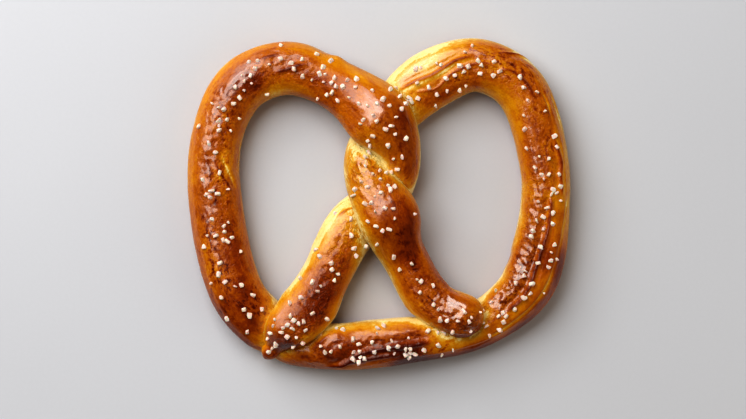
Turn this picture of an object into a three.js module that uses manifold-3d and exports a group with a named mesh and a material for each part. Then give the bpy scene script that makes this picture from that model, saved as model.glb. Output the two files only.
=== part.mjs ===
// A twisted soft pretzel: one rope of dough laid in two loops, wound once round itself in the
// middle and pressed down at both ends, with coarse salt sunk in its crust.
// Millimetres, +Z up. The origin is the middle of the footprint, on the surface it rests on.
// +Y is towards the crowns of the two loops and -Y towards the belly.

import * as THREE from "three";
import { mergeVertices } from "three/addons/utils/BufferGeometryUtils.js";
import Module from "manifold-3d";

// Driving dimensions of the rope.
const PLUMP = 18.5; // height where it lies free
const SQUASHED = 14; // height under another strand
const OVER = 10; // lift of a strand that crosses over another
const SINK = 1.2; // dough that the baking sheet has pressed flat
const WAIST = 0.45; // widest level of a section, as a share of its height
const TOP_ROUND = 2.15; // superellipse power of a section above the waist
const BASE_ROUND = 2.6; // and below it, where the dough has settled

// Driving dimensions of the salt.
const GRAIN_SEED = 5;
const SALT_STEP = 5; // distance the salting hand moves between drops
const GRAINS_A_STEP = 4; // grains it may drop at each
const SALTINESS = 0.38; // chance of each, where a station's salt is 1
const SALT_REACH = 0.95; // share of the rope's half width that it reaches
const GRAIN_EDGE = [1.9, 2.9]; // shortest and longest edge of a grain
const GRAIN_RISE = [1, 1.5]; // how far it stands out of the crust
const GRAIN_SUNK = 1; // how deep it reaches into it
const GRAIN_TAPER = [0.45, 0.8]; // width of its top, as a share of its foot
const GRAIN_LEAN = 0.12; // how far its top is off centre, as a share of its foot
const GRAIN_GAP = 2.4; // least distance between two grains
const STEEPEST = 0.5; // salt stays where the crust's normal points up at least this much

// How finely the crust is faceted.
const RING_STEP = 5; // distance between sections along the rope
const CAP_RINGS = 4; // sections that round off a free end
const CURVE_SAMPLES = 24; // samples a station when measuring along the route
// Angles round a section, in degrees: 0 is the right-hand side of the route, 90 the top.
const SECTION = [-20, 2, 23, 42, 59, 75, 90, 105, 121, 138, 157, 178, 200, 223, 248, 292, 317];

// The route, from the end pressed on the belly's left to the end on its right.
const station = (name, x, y, width, { height = PLUMP, lift = 0, salt = 1 } = {}) => ({
  name, x, y, width, height, lift, salt,
});
const ROUTE = [
  station("left tip", -46.3, -62, 10.4, { height: 8, lift: 0.6 * OVER, salt: 2 }),
  station("left end", -41.5, -55.1, 18.6, { height: 14, lift: 0.9 * OVER, salt: 1.6 }),
  station("left leg, low", -31.9, -46.4, 25, { height: 17, lift: 0.55 * OVER, salt: 1.2 }),
  station("left leg, middle", -23.4, -31.8, 21.4, { salt: 1.1 }),
  station("left leg, high", -12.5, -11.1, 23, { height: 17, salt: 0.8 }),
  station("left under", -0.8, 0.4, 23, { height: SQUASHED }),
  station("left twist", 7.4, 18.1, 21, { height: 20, lift: 0.2 * OVER }),
  station("left over", 0.2, 35.8, 28.8, { lift: OVER, salt: 1.4 }),
  station("left neck", -17.8, 51.1, 22, { lift: 0.2 * OVER, salt: 1.6 }),
  station("left crown", -38.8, 58.7, 23.1, { salt: 1.2 }),
  station("left shoulder", -58.4, 51.7, 23, { salt: 1.7 }),
  station("left side, high", -70, 28.1, 22.1),
  station("left side, low", -68.6, -12.3, 23.4, { salt: 0.6 }),
  station("left hip", -59.3, -41.3, 22.8),
  station("left belly", -42.2, -55.8, 23, { height: SQUASHED }),
  station("belly, left", -19.4, -61, 20.1, { salt: 1.3 }),
  station("belly, middle", -3.4, -60.2, 20.6, { salt: 1.8 }),
  station("belly, right", 12.4, -58.4, 20.2, { salt: 1.4 }),
  station("right belly", 41.4, -52.6, 20, { height: SQUASHED }),
  station("right hip", 61.5, -37.9, 22.8, { salt: 1.1 }),
  station("right side, low", 67.4, -24.8, 24, { salt: 1.1 }),
  station("right side", 71.4, -2.4, 21.3, { salt: 1.3 }),
  station("right side, high", 71.3, 16.2, 21.1, { salt: 1.2 }),
  station("right shoulder", 60.9, 49.8, 22.4, { salt: 0.9 }),
  station("right crown", 42.3, 60, 22.7, { salt: 1.4 }),
  station("right neck", 21.9, 53.5, 25.6, { height: 17, salt: 1.6 }),
  station("right under", 4, 36.2, 22, { height: SQUASHED }),
  station("right twist", -4.9, 18, 20.8, { height: 20, lift: 0.2 * OVER, salt: 1.7 }),
  station("right over", 4.2, -5.6, 26.8, { lift: OVER, salt: 0.8 }),
  station("right leg, middle", 11.6, -23.4, 19.7, { lift: 0.25 * OVER, salt: 0.4 }),
  station("right leg, low", 22.5, -41.6, 20.6, { height: 17, lift: 0.4 * OVER, salt: 0.9 }),
  station("right tip", 35.2, -47.6, 19.4, { height: 15, lift: 0.9 * OVER, salt: 1.5 }),
];

// A place on the route is a number of stations: 2.5 is half way from station 2 to station 3.
const placeOf = (name) => ROUTE.findIndex((s) => s.name === name);
const START = 0;
const END = ROUTE.length - 1;

// Folds that opened along the rope as it rose. Each runs between two places, given as a station
// and stations past it, and from one angle round the section to another, in degrees.
const fold = (from, fromPast, to, toPast, fromAngle, toAngle, depth) => ({
  from: placeOf(from) + fromPast, to: placeOf(to) + toPast, fromAngle, toAngle, depth,
});
const FOLDS = [
  fold("left neck", 0.65, "left crown", 0.3, 79, 98, 0.7),
  fold("left side, high", 0.2, "left side, high", 0.55, 110, 140, 0.5),
  fold("belly, left", 0.1, "right belly", -0.6, 44, 81, 0.9),
  fold("right hip", -0.5, "right side", 0.3, 88, 82, 0.9),
  fold("right belly", 0.2, "right side", 0.5, 60, 36, 0.6),
  fold("right side", 0.2, "right side, high", 0.4, 58, 62, 0.5),
  fold("right shoulder", -0.3, "right shoulder", 0.6, 76, 92, 0.6),
  fold("right shoulder", 0.7, "right neck", 0.4, 86, 112, 0.7),
  fold("right crown", 0.1, "right neck", 0.6, 76, 70, 1.1),
];
const FOLD_WIDTH = 11; // half angle of a fold, in degrees
const FOLD_FADE = 0.3; // stations over which a fold runs out at either end

const { clamp, degToRad, lerp, smoothstep } = THREE.MathUtils;

// Two curves over the same stations: where the rope runs, and how wide, high and lifted it is.
const path = new THREE.CatmullRomCurve3(
  ROUTE.map((s) => new THREE.Vector3(s.x, s.y, 0)), false, "centripetal");
const build = new THREE.CatmullRomCurve3(
  ROUTE.map((s) => new THREE.Vector3(s.width, s.height, s.lift)), false, "catmullrom", 0.5);

// The rope at a place on the route.
function ropeAt(place) {
  const t = clamp(place / END, 0, 1);
  const { x: width, y: height, z: lift } = build.getPoint(t);
  const along = path.getTangent(t);
  return {
    place, width, height, along,
    lift: Math.max(lift, 0),
    centre: path.getPoint(t),
    side: new THREE.Vector3(along.y, -along.x, 0).normalize(),
  };
}

// How deep each fold is at a place, and at what angle it lies.
function foldsAt(place) {
  return FOLDS.filter((f) => place > f.from && place < f.to).map((f) => {
    const share = (place - f.from) / (f.to - f.from);
    const ends = Math.min(place - f.from, f.to - place);
    return {
      angle: lerp(f.fromAngle, f.toAngle, share),
      depth: f.depth * smoothstep(ends, 0, FOLD_FADE),
    };
  });
}

// The angles of a section's corners. The corner nearest to a fold lies in it.
function cornersAt(folds) {
  const corners = [...SECTION];
  for (const { angle } of folds) {
    const gaps = corners.map((corner) => Math.abs(corner - angle));
    corners[gaps.indexOf(Math.min(...gaps))] = angle;
  }
  return corners;
}

// A signed power, which keeps the quadrant of a sine or cosine.
const squared = (value, power) => Math.sign(value) * Math.abs(value) ** (2 / power);

// One point of the crust. share scales the section and shift moves it along, to round off an end.
function crustPoint(rope, folds, degrees, share, shift) {
  const angle = degToRad(degrees);
  const round = Math.sin(angle) >= 0 ? TOP_ROUND : BASE_ROUND;
  const across = squared(Math.cos(angle), round);
  const up = squared(Math.sin(angle), round);
  const waist = WAIST * rope.height;
  const reach = up >= 0 ? rope.height - waist : waist + SINK;
  const dent = folds.reduce(
    (sum, f) => sum + f.depth * Math.exp(-(((degrees - f.angle) / FOLD_WIDTH) ** 2)), 0);
  const left = share * (1 - dent / (0.5 * rope.height));
  const point = rope.centre.clone()
    .addScaledVector(rope.side, 0.5 * rope.width * across * left)
    .addScaledVector(rope.along, shift);
  point.z = Math.max(0, rope.lift + waist + reach * up * left);
  return point;
}

// Places from one place on the route to another, about a step apart.
function placesBetween(from, to, step) {
  const samples = Math.round((to - from) * CURVE_SAMPLES);
  const marks = Array.from({ length: samples + 1 }, (_, i) => lerp(from, to, i / samples));
  const points = marks.map((mark) => path.getPoint(mark / END));
  const lengths = [0];
  for (let i = 1; i <= samples; i++) {
    lengths.push(lengths[i - 1] + points[i].distanceTo(points[i - 1]));
  }
  const steps = Math.round(lengths[samples] / step);
  let i = 1;
  return Array.from({ length: steps + 1 }, (_, k) => {
    const wanted = lengths[samples] * k / steps;
    while (i < samples && lengths[i] < wanted) i++;
    const share = (wanted - lengths[i - 1]) / (lengths[i] - lengths[i - 1]);
    return lerp(marks[i - 1], marks[i], share);
  });
}

// The rings that round off a free end, from its pole inwards. Forwards is -1 at the start.
function capRings(place, forwards) {
  const rope = ropeAt(place);
  return Array.from({ length: CAP_RINGS }, (_, i) => {
    const lean = Math.PI / 2 * (i / CAP_RINGS);
    return { rope, share: Math.sin(lean), shift: forwards * 0.5 * rope.width * Math.cos(lean) };
  });
}

// A closed strand of the rope between two places on the route.
function strand(from, to) {
  const rings = placesBetween(from, to, RING_STEP).map((p) => ({ rope: ropeAt(p), share: 1, shift: 0 }));
  if (from === START) rings.unshift(...capRings(from, -1));
  if (to === END) rings.push(...capRings(to, 1).reverse());
  const points = rings.flatMap(({ rope, share, shift }) => {
    const folds = foldsAt(rope.place);
    return cornersAt(folds).map((corner) => crustPoint(rope, folds, corner, share, shift));
  });
  const sides = SECTION.length;
  const faces = [];
  for (let r = 0; r + 1 < rings.length; r++) {
    for (let i = 0; i < sides; i++) {
      const a = r * sides + i;
      const b = r * sides + (i + 1) % sides;
      faces.push(a, a + sides, b, b, a + sides, b + sides);
    }
  }
  const last = (rings.length - 1) * sides;
  for (let i = 1; i + 1 < sides; i++) {
    faces.push(0, i, i + 1, last, last + i + 1, last + i);
  }
  const geometry = new THREE.BufferGeometry().setFromPoints(points);
  geometry.setIndex(faces);
  return geometry;
}

const wasm = await Module();
wasm.setup();

function solidOf(geometry) {
  const merged = mergeVertices(geometry, 1e-4);
  const mesh = new wasm.Mesh({
    numProp: 3,
    vertProperties: merged.attributes.position.array,
    triVerts: new Uint32Array(merged.index.array),
  });
  return new wasm.Manifold(mesh);
}

function geometryOf(solid) {
  const mesh = solid.getMesh();
  const geometry = new THREE.BufferGeometry();
  geometry.setAttribute("position", new THREE.BufferAttribute(mesh.vertProperties, 3));
  geometry.setIndex(new THREE.BufferAttribute(mesh.triVerts, 1));
  geometry.computeVertexNormals();
  return geometry;
}

const joined = (solids) => solids.reduce((all, next) => all.add(next));

// The same numbers from 0 to 1 for the same seed.
function draws(seed) {
  let state = seed;
  return () => {
    state = (state + 0x6d2b79f5) | 0;
    let mixed = Math.imul(state ^ (state >>> 15), 1 | state);
    mixed = (mixed + Math.imul(mixed ^ (mixed >>> 7), 61 | mixed)) ^ mixed;
    return ((mixed ^ (mixed >>> 14)) >>> 0) / 2 ** 32;
  };
}

// One grain: a block that narrows upwards and leans a little, standing along the crust's normal.
function grain(seat, normal, form) {
  const heading = new THREE.Vector3(Math.cos(form.yaw), Math.sin(form.yaw), 0);
  const first = new THREE.Vector3().crossVectors(heading, normal).normalize();
  const second = new THREE.Vector3().crossVectors(normal, first);
  const points = Array.from({ length: 8 }, (_, i) => {
    const top = i >> 2;
    const [a, b] = [i & 1, (i >> 1) & 1].map((end, axis) => form.edges[axis]
      * (top ? (end - 0.5) * form.taper[axis] + form.lean[axis] : end - 0.5));
    const level = top ? form.rise : -GRAIN_SUNK;
    return seat.clone()
      .addScaledVector(first, a)
      .addScaledVector(second, b)
      .addScaledVector(normal, level);
  });
  const geometry = new THREE.BufferGeometry().setFromPoints(points);
  geometry.setIndex([
    0, 2, 1, 1, 2, 3, 4, 5, 6, 5, 7, 6, 0, 1, 4, 1, 5, 4,
    2, 6, 3, 3, 6, 7, 0, 4, 2, 2, 4, 6, 1, 3, 5, 3, 7, 5,
  ]);
  return geometry;
}

// Salt falls straight down along the whole rope, and stays where the crust isn't too steep.
function saltOn(dough) {
  const draw = draws(GRAIN_SEED);
  const spread = () => draw() + draw() - 1;
  const crust = new THREE.Mesh(geometryOf(dough));
  const fall = new THREE.Raycaster();
  const down = new THREE.Vector3(0, 0, -1);
  const seats = [];
  const grains = [];
  for (const place of placesBetween(START, END, SALT_STEP)) {
    const rope = ropeAt(place);
    const salt = lerp(
      ROUTE[Math.floor(place)].salt, ROUTE[Math.ceil(place)].salt, place - Math.floor(place));
    for (let g = 0; g < GRAINS_A_STEP; g++) {
      const chance = draw();
      const from = rope.centre.clone()
        .addScaledVector(rope.side, spread() * 0.5 * rope.width * SALT_REACH)
        .addScaledVector(rope.along, spread() * SALT_STEP);
      const form = {
        yaw: draw() * 2 * Math.PI,
        rise: lerp(...GRAIN_RISE, draw()),
        edges: [lerp(...GRAIN_EDGE, draw()), lerp(...GRAIN_EDGE, draw())],
        taper: [lerp(...GRAIN_TAPER, draw()), lerp(...GRAIN_TAPER, draw())],
        lean: [spread() * GRAIN_LEAN, spread() * GRAIN_LEAN],
      };
      from.z = 100;
      fall.set(from, down);
      const hit = fall.intersectObject(crust)[0];
      const kept = chance < salt * SALTINESS && hit && hit.face.normal.z > STEEPEST
        && seats.every((seat) => seat.distanceTo(hit.point) > GRAIN_GAP);
      if (kept) {
        seats.push(hit.point);
        grains.push(grain(hit.point, hit.face.normal, form));
      }
    }
  }
  return grains;
}

// The rope is cut at both crowns, because no strand may run through itself.
const cuts = [START, placeOf("left crown"), placeOf("right crown"), END];
const dough = joined(cuts.slice(1).map((to, i) => solidOf(strand(cuts[i], to))));
const grains = saltOn(dough);
const salted = joined([dough, ...grains.map(solidOf)]);

const crust = new THREE.MeshStandardMaterial({ color: 0xa45a1a, roughness: 0.35, metalness: 0 });
const pretzel = new THREE.Mesh(geometryOf(salted), crust);
pretzel.name = "pretzel";
const root = new THREE.Group();
root.add(pretzel);
export default root;
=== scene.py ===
"""A twisted soft pretzel: the rope of dough with its baked crust, and the coarse salt on it.

Sizes of the rope are written in millimetres, as a baker would give them, and turned into metres
where a mesh is made. +Z is up and the pretzel lies on the plane z = 0.
"""

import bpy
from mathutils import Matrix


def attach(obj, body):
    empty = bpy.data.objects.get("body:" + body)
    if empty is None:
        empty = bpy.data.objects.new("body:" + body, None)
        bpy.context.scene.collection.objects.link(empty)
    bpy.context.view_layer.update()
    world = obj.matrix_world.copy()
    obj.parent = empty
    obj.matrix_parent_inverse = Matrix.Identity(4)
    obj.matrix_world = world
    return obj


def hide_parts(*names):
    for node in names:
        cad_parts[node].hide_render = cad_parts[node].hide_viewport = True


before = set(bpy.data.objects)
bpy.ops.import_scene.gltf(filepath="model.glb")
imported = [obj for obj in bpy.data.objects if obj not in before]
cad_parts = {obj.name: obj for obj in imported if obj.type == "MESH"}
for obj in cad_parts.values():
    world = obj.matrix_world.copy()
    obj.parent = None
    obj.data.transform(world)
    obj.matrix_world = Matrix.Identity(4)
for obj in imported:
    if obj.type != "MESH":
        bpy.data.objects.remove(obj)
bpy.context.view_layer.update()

from types import SimpleNamespace

import bmesh
import bpy
import numpy as np
from bpy.props import FloatProperty, FloatVectorProperty, IntProperty, PointerProperty
from bpy.types import Operator, Panel, PropertyGroup
from mathutils import Vector, noise
from mathutils.bvhtree import BVHTree
from mathutils.kdtree import KDTree

bl_info = {
    "name": "Soft Pretzel",
    "version": (1, 0, 0),
    "blender": (4, 5, 0),
    "location": "View3D > Sidebar > Pretzel",
    "description": "Rolls, twists, bakes and salts a soft pretzel",
    "category": "Add Mesh",
}

MM = 0.001
BODY = "root"
NODE = "pretzel"

# ---- The rope of dough, in millimetres ----

PLUMP = 18.5  # height where the rope lies free
SQUASHED = 14.0  # height under another strand
OVER = 10.0  # lift of a strand that crosses over another
SINK = 1.2  # dough that the baking sheet has pressed flat
WAIST = 0.45  # widest level of a section, as a share of its height
TOP_ROUND = 2.15  # superellipse power of a section above the waist
BASE_ROUND = 2.6  # and below it

TOP_CORNERS = 72  # corners of a section from its right side over the top to its left
FOOT_CORNERS = 24  # and from there under the rope
CAP_RINGS = 14  # sections that round off a free end
FIRST_CAP_RING = 0.4  # how far the first of them is from the end's pole, in rings
PLACES_A_STATION = 48  # samples when measuring along the route

# How a section is baked, and its painted shading, where it says nothing else. Angles are in degrees
# round the section:
# 0 is the right-hand side of the route, 90 the top and 180 the left-hand side.
BAKE = {
    "brown": 0.62,  # how dark the brown band along the top is
    "band": 90.0,  # angle of the middle of that band
    "spread": 62.0,  # and how far it reaches to either side of it
    "edge": 0.34,  # how dark the sides are
    # right and left paint shade on edges that face away from the key light, as under the belly, and
    # light on edges that face it, as on the left leg's left edge, besides the crust's own colour
    "right": 0.0,  # extra darkness at the right-hand edge, lighter where negative: partly baked, partly painted shading
    "left": 0.0,  # and at the left-hand edge, the same way
    "mottle": 0.4,  # dark specks
    "gloss": 0.6,  # how much the skin along the top shines
    "crinkle": 0.2,  # fine wrinkles in the skin
}


def station(name, x, y, width, height=PLUMP, lift=0.0, salt=1.0, **bake):
    """One named section of the rope: its place, sizes and lift, how thickly it is salted, and
    how it is baked, with some painted light and shade at its edges."""
    return dict(
        BAKE, name=name, x=x, y=y, width=width, height=height, lift=lift, salt=salt, **bake)


ROUTE = [
    station("left tip", -46.3, -62, 10.4, 8, lift=0.6 * OVER, salt=2.0,
            brown=0.82, band=60, edge=0.5, gloss=0.05, crinkle=0.3),
    station("left end", -41.5, -55.1, 18.6, 14, lift=0.9 * OVER, salt=1.6,
            band=60, right=0.12, left=-0.15, gloss=0.4, crinkle=0.8),
    station("left leg, low", -31.9, -46.4, 25, 17, lift=0.55 * OVER, salt=1.2,
            brown=0.68, band=78, spread=44, edge=0.22, left=-0.2, mottle=0.5, gloss=0.2,
            crinkle=0.9),
    station("left leg, middle", -23.4, -31.8, 21.4, salt=1.1,
            brown=0.7, band=80, spread=44, edge=0.18, left=-0.5, mottle=0.5, gloss=0.2,
            crinkle=0.9),
    station("left leg, high", -12.5, -11.1, 23, 17, salt=0.8,
            brown=0.4, band=85, spread=40, edge=0.02, right=-0.05, left=-0.4, mottle=0.3,
            gloss=0.5, crinkle=0.7),
    station("left under", -0.8, 0.4, 23, SQUASHED,
            brown=0.4, edge=0.2),
    station("left twist", 7.4, 18.1, 21, 20, lift=0.2 * OVER,
            brown=0.5, band=58, spread=48, edge=0.2, right=-0.3, left=-0.22),
    station("left over", 0.2, 35.8, 28.8, lift=OVER, salt=1.4,
            brown=0.54, band=88, spread=68, edge=0.28, right=-0.12, mottle=0.35, gloss=1.2),
    station("left neck", -17.8, 51.1, 22, lift=0.2 * OVER, salt=1.6,
            brown=0.55, band=115, spread=48, edge=0.26, left=0.1, mottle=0.35, gloss=0.08),
    station("left crown", -38.8, 58.7, 23.1, salt=1.2,
            brown=0.58, band=86, spread=48, edge=0.27, mottle=0.45, gloss=0.5, crinkle=0.5),
    station("left shoulder", -58.4, 51.7, 23, salt=1.7,
            brown=0.66, band=94, spread=50, edge=0.24, mottle=0.5, gloss=0.66, crinkle=0.6),
    station("left side, high", -70, 28.1, 22.1,
            brown=0.61, spread=50, edge=0.27, mottle=0.6, crinkle=0.6),
    station("left side, low", -68.6, -12.3, 23.4, salt=0.6,
            brown=0.58, band=100, spread=55, edge=0.38, right=0.1, mottle=0.65, crinkle=0.4),
    station("left hip", -59.3, -41.3, 22.8,
            brown=0.72, band=88, edge=0.4, right=0.28, left=-0.15, mottle=1.0, crinkle=0.1),
    station("left belly", -42.2, -55.8, 23, SQUASHED,
            brown=0.44, band=60, edge=0.12, right=0.35, left=-0.15, mottle=0.5),
    station("belly, left", -19.4, -61, 20.1, salt=1.3,
            brown=0.76, band=80, spread=48, edge=0.22, right=0.2, left=-0.15, crinkle=0.5),
    station("belly, middle", -3.4, -60.2, 20.6, salt=1.8,
            brown=0.74, band=80, spread=42, edge=0.16, right=0.3, left=-0.1, mottle=0.6,
            gloss=0.45, crinkle=0.8),
    station("belly, right", 12.4, -58.4, 20.2, salt=1.4,
            brown=0.79, band=70, spread=48, edge=0.2, right=0.45, left=-0.35, mottle=0.6,
            crinkle=0.6),
    station("right belly", 41.4, -52.6, 20, SQUASHED,
            brown=0.51, band=100, spread=40, edge=0.25, right=0.35, left=-0.3, gloss=0.8,
            crinkle=0.6),
    station("right hip", 61.5, -37.9, 22.8, salt=1.1,
            brown=0.66, band=112, spread=36, edge=0.15, right=0.32, left=-0.05, mottle=0.6,
            gloss=1.0, crinkle=1.0),
    station("right side, low", 67.4, -24.8, 24, salt=1.1,
            brown=0.6, band=113, spread=34, edge=0.2, right=0.25, mottle=0.7, gloss=0.7,
            crinkle=1.0),
    station("right side", 71.4, -2.4, 21.3, salt=1.3,
            brown=0.5, band=112, spread=34, edge=0.17, right=-0.1, mottle=0.5, gloss=0.7,
            crinkle=0.9),
    station("right side, high", 71.3, 16.2, 21.1, salt=1.2,
            brown=0.54, band=104, spread=42, edge=0.25, right=-0.08, mottle=0.6, crinkle=0.5),
    station("right shoulder", 60.9, 49.8, 22.4, salt=0.9,
            brown=0.5, band=70, spread=56, edge=0.18, right=-0.1, mottle=0.6, crinkle=0.3),
    station("right crown", 42.3, 60, 22.7, salt=1.4,
            brown=0.52, band=85, spread=50, edge=0.18, mottle=0.6, gloss=0.45, crinkle=0.5),
    station("right neck", 21.9, 53.5, 25.6, 17, salt=1.6,
            brown=0.4, band=120, spread=40, edge=0.04, right=-0.25, left=0.1, mottle=0.3),
    station("right under", 4, 36.2, 22, SQUASHED,
            brown=0.3, edge=0.2),
    station("right twist", -4.9, 18, 20.8, 20, lift=0.2 * OVER, salt=1.7,
            brown=0.26, band=80, edge=0.0, crinkle=1.0),
    station("right over", 4.2, -5.6, 26.8, lift=OVER, salt=0.8,
            brown=0.6, band=104, spread=58, edge=0.2, right=-0.15, mottle=0.5, crinkle=0.1),
    station("right leg, middle", 11.6, -23.4, 19.7, lift=0.25 * OVER, salt=0.4,
            brown=0.67, band=96, spread=46, edge=0.16, right=-0.1, left=0.35, mottle=0.8,
            crinkle=0.1),
    station("right leg, low", 22.5, -41.6, 20.6, 17, lift=0.4 * OVER, salt=0.9,
            brown=0.64, band=110, spread=58, edge=0.2, right=-0.1, left=0.15, mottle=0.6,
            gloss=0.8, crinkle=0.7),
    station("right tip", 35.2, -47.6, 19.4, 15, lift=0.9 * OVER, salt=1.5,
            band=60, spread=70, edge=0.32, right=0.3, left=-0.1, gloss=1.25, crinkle=1.0),
]
START, END = 0, len(ROUTE) - 1
CUTS = ("left crown", "right crown")  # no strand between two of these runs through itself
OVERLAP = 8  # sections by which each strand runs on past a cut, inside the next one
NARROWING = 0.001  # how much narrower it gets there with the square of the sections past it


def place_of(name, past=0.0):
    """A place on the route, counted in stations: 2.5 is half way from station 2 to station 3."""
    return [s["name"] for s in ROUTE].index(name) + past


def fold(start, start_past, end, end_past, angles, depth, width=1.1, skin=0, pale=0.0):
    """A crack that opened along the rope as it rose, between two places, or a ridge that was
    pinched up there if depth is negative.

    angles are where it runs round the section, evenly spaced from its start to its end. skin is
    the side on which the baked skin stands proud of it: 1 for larger angles, -1 for smaller
    ones. pale is how light the dough on its other side stayed, or in it where skin is 0.
    """
    return SimpleNamespace(
        start=place_of(start, start_past), end=place_of(end, end_past), angles=angles,
        depth=depth, width=width, skin=skin, pale=pale)


FOLDS = [
    fold("left neck", 0.62, "left crown", 0.34, (77, 89, 96, 98), 0.7, 1, skin=-1),
    fold("left crown", 0.1, "left crown", 0.55, (62, 64, 67), 0.4, 0.9),
    fold("left side, high", 0.1, "left side, high", 0.6, (104, 116, 136, 152),
         -0.45, 0.9, pale=0.5),
    fold("left side, high", 0.2, "left side, high", 0.65, (92, 104, 122, 138),
         0.45, 0.9, skin=1, pale=0.5),
    fold("left leg, middle", 0.3, "left leg, high", 0.78, (168, 160, 153, 149, 134),
         0.5, 0.6, pale=0.3),
    fold("left leg, middle", 0.6, "left leg, high", 0.7, (148, 142, 128), -0.35, 0.5, pale=0.4),
    fold("left leg, high", 0, "left leg, high", 0.8, (132, 122, 112), 0.4, 0.6, pale=0.2),
    fold("left belly", 0.4, "left belly", 0.74, (78, 104, 138), 0.9, 1.4, pale=0.5),
    fold("left belly", 0.56, "left belly", 0.96, (76, 100, 134), 0.7, 1.3, pale=0.2),
    fold("belly, left", 0.05, "belly, right", 0.4, (34, 70, 78, 81, 80), 1.1, 1.1, skin=1),
    fold("left belly", 0.85, "belly, middle", 0.6, (30, 50, 58, 62), 0.7, 1, skin=1),
    fold("right belly", 0.5, "right side", 0.35, (86, 88, 90, 88, 82, 83),
         1.2, 0.8, skin=1, pale=0.1),
    fold("right belly", 0.05, "right side", 0.35, (52, 56, 58, 55, 50, 44, 34),
         -0.35, 0.6, pale=0.35),
    fold("right side", 0.3, "right side, high", 0.4, (56, 60, 55, 62), 0.6, 0.9, skin=1, pale=0.4),
    fold("right side, high", 0.45, "right shoulder", -0.1, (54, 57), -0.4, 0.5, pale=0.3),
    fold("right side, high", 0.35, "right shoulder", -0.15, (26, 30), -0.4, 0.5, pale=0.4),
    fold("right side, high", 0.72, "right shoulder", 0.62, (82, 79, 78, 82, 94), 0.6, 0.8, skin=-1),
    fold("right shoulder", 0.62, "right neck", 0.4, (84, 90, 95, 103, 110, 92), 0.5, 0.8, pale=0.5),
    fold("right crown", 0.05, "right neck", 0.55, (76, 79, 85, 80, 66),
         0.7, 0.8, skin=-1, pale=0.6),
    fold("right shoulder", 0.1, "right shoulder", 0.75, (6, 16, 44, 60),
         0.4, 0.9, skin=1, pale=0.5),
]
FOLD_FADE = 0.2  # stations over which a fold runs out at either end
FOLD_WANDER = 2.4  # degrees that a fold strays from its run
WANDER_SIZE = 7.0  # distance between its bends
WANDER_SEED = 40  # seed of the first fold's noise
FOLD_DULL = 0.8  # how much of its shine the dough in a crack lost
RIDGE_PALE = 0.4  # how much lighter a ridge is, as a share of how much darker a crack is
LIP = 0.3  # how far the dough beside a crack stands up, as a share of the crack's depth
SKIN_STEP = 0.45  # how far the baked skin beside it stands proud, as a share of its depth

# How far from a crack's middle and how wide each of these is, in widths of the crack
LIP_AWAY, LIP_WIDTH = 2.0, 1.3  # the dough that stands up on both sides
SKIN_AWAY, SKIN_WIDTH = 2.6, 2.2  # the baked skin on one side
BARE_AWAY, BARE_WIDTH = 1.6, 1.4  # the pale dough on the other
LINE_WIDTH, DULL_WIDTH = 0.7, 2.0  # the dark line in it, partly painted shade in the groove, and the dough that lost its shine


def stretch(start, start_past, end, end_past, right, left, tone):
    """Dough that was drawn out between two folds and stayed light. right and left are its edges
    round the section, in degrees, evenly spaced from its start to its end."""
    return SimpleNamespace(
        start=place_of(start, start_past), end=place_of(end, end_past),
        right=right, left=left, tone=tone)


STRETCHES = [
    stretch("right belly", 0.1, "right side", 0.35,
            (46, 54, 57, 53, 47, 37, 28), (86, 87, 89, 90, 88, 82, 83), 0.35),
    stretch("right side", 0.2, "right side, high", 0.6, (30, 38, 36, 40), (58, 60, 55, 60), 0.38),
    stretch("right crown", 0.3, "right neck", 0.7, (79, 85, 80, 66), (86, 93, 92, 84), 0.26),
    stretch("belly, right", 0.1, "right belly", 0.6, (40, 46, 40), (110, 120, 110), 0.34),
]
STRETCH_SINK = 0.35  # how far such dough lies under the skin beside it
STRETCH_EDGE = 4.0  # degrees over which it runs into that skin
STRETCH_DULL = 0.6  # how much duller than that skin it is


def spots(*rows):
    """Round forms on the crust. A row says near which station one lies and how far past it, its
    angle round the section, its reach along the rope and round it, and its strength."""
    return [
        SimpleNamespace(
            place=place_of(near, past), angle=angle, along=along, around=around,
            strength=strength)
        for near, past, angle, along, around, strength in rows]


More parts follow.
